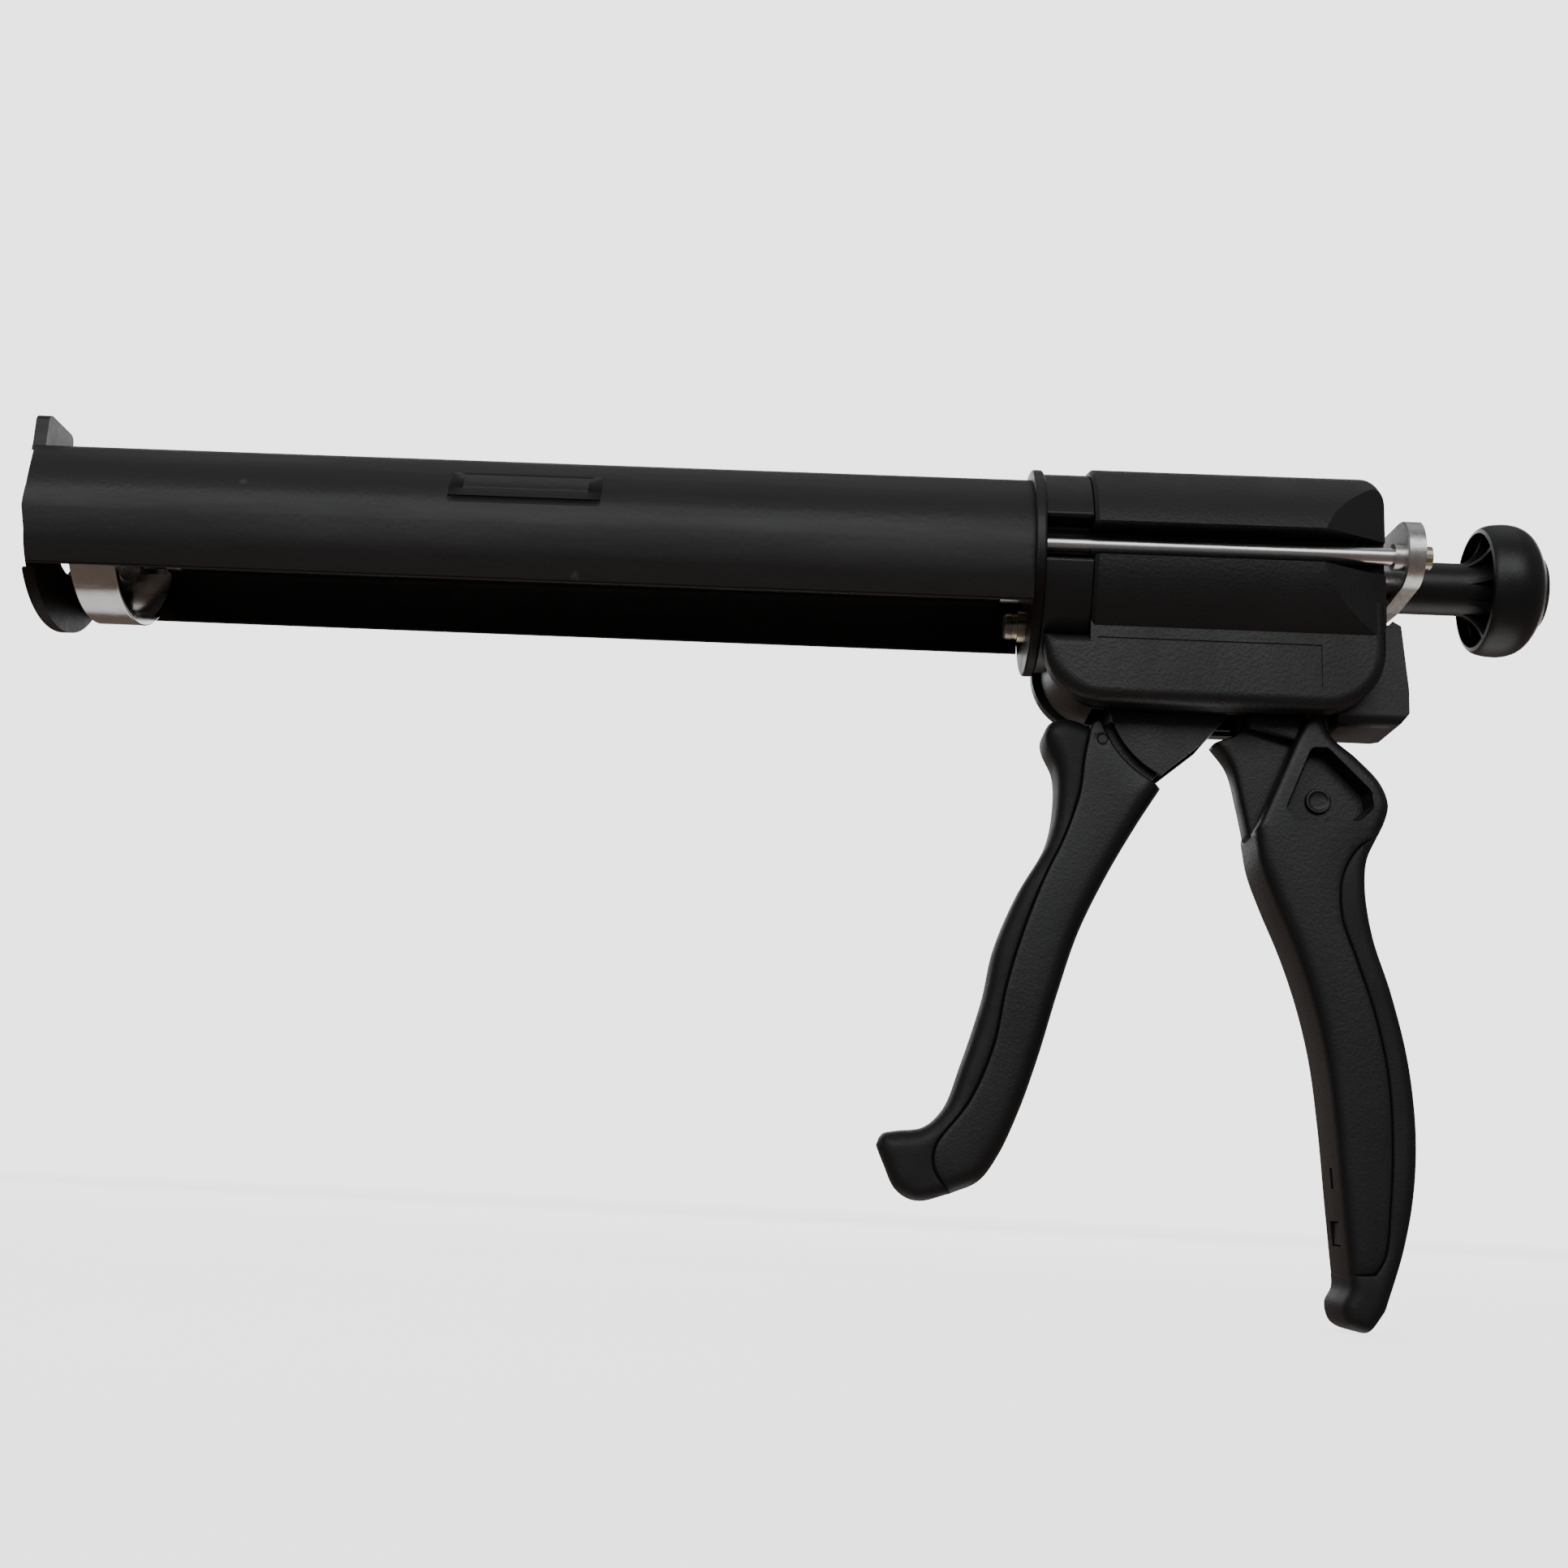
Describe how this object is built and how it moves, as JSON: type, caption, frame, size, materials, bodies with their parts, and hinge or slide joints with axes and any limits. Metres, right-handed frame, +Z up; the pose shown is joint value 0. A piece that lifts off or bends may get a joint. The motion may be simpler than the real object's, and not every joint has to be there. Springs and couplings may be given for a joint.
{
  "type": "caulking gun",
  "caption": "Hand-operated caulking gun for two-part coaxial cartridges: open cradle, drive housing, long trigger, fixed handle and a pull knob on sliding rods.",
  "frame": {"origin": "on the drive axis at the rear face of the cradle's flange, where the cradle is screwed to the drive housing", "axes": "+X runs back along the barrel to the pull knob (the nozzle hole is at -X), +Z is up, away from the handle, and -Y is the user's left"},
  "size_m": [0.4422, 0.0606, 0.244],
  "materials": {
    "cradle_paint": "satin black paint",
    "casing_black": "fine spark texture",
    "housing_black": "smooth moulded",
    "handle_black": "fine satin",
    "soft_grip": "matt soft insert",
    "knob_black": "semi-gloss moulded",
    "release_black": "satin",
    "bright_steel": "drawn bright rod",
    "zinc_plate": "bright zinc plated",
    "chrome": "chromed",
    "brass": "yellow passivated",
    "screw_steel": "plated",
    "spring_steel": "oiled wire"
  },
  "bodies": {
    "gun_body": {"cradle_shell": "cradle_paint", "front_plate": "cradle_paint", "cradle_flange": "cradle_paint", "flange_screws": "screw_steel", "flange_washers": "brass", "rod_bushes": "screw_steel", "drive_housing": "housing_black", "left_cover": "casing_black", "right_cover": "casing_black", "cover_screws": "screw_steel", "handle_shell": "handle_black", "handle_grip": "soft_grip", "handle_rivets": "handle_black", "handle_clip": "housing_black", "trigger_pivot": "bright_steel", "release_pivot": "bright_steel", "drive_spring": "spring_steel", "brake_spring": "spring_steel"},
    "push_assembly": {"drive_rod": "bright_steel", "side_rods": "bright_steel", "yoke_plate": "zinc_plate", "rod_collars": "zinc_plate", "yoke_screws": "brass", "pull_knob": "knob_black", "push_ring": "chrome", "ring_nuts": "screw_steel", "centre_pusher": "zinc_plate"},
    "trigger": {"trigger_lever": "handle_black", "trigger_shell": "handle_black", "trigger_grip": "soft_grip", "trigger_pin": "housing_black"},
    "jam_plate": {"drive_plate": "bright_steel"},
    "thumb_release": {"release_lever": "release_black"},
    "brake": {"brake_plate": "bright_steel"}
  },
  "joints": [
    {"name": "push_slide", "type": "slide", "parent": "gun_body", "child": "push_assembly", "axis": [1, 0, 0], "range_m": [0, 0.245]},
    {"name": "trigger_hinge", "type": "hinge", "parent": "gun_body", "child": "trigger", "pos_m": [0.047, 0, -0.036], "axis": [0, -1, 0], "range_deg": [0, 34], "stiffness_Nm_per_rad": 1.2, "springref_deg": -14.32},
    {"name": "jam_plate_slide", "type": "slide", "parent": "gun_body", "child": "jam_plate", "axis": [-1, 0, 0], "range_m": [0, 0.0136], "deforming": ["drive_spring"]},
    {"name": "release_hinge", "type": "hinge", "parent": "gun_body", "child": "thumb_release", "pos_m": [0.0865, 0, -0.0345], "axis": [0, -1, 0], "range_deg": [0, 7], "stiffness_Nm_per_rad": 0.9, "springref_deg": -14.32},
    {"name": "brake_hinge", "type": "hinge", "parent": "gun_body", "child": "brake", "pos_m": [0.08475, 0, 0.0195], "axis": [0, 1, 0], "range_deg": [0, 5.7], "deforming": ["brake_spring"]}
  ],
  "couplings": [
    {"joint": "jam_plate_slide", "follows": "trigger_hinge", "m_per_rad": 0.0226},
    {"joint": "brake_hinge", "follows": "release_hinge", "ratio": 0.8}
  ]
}
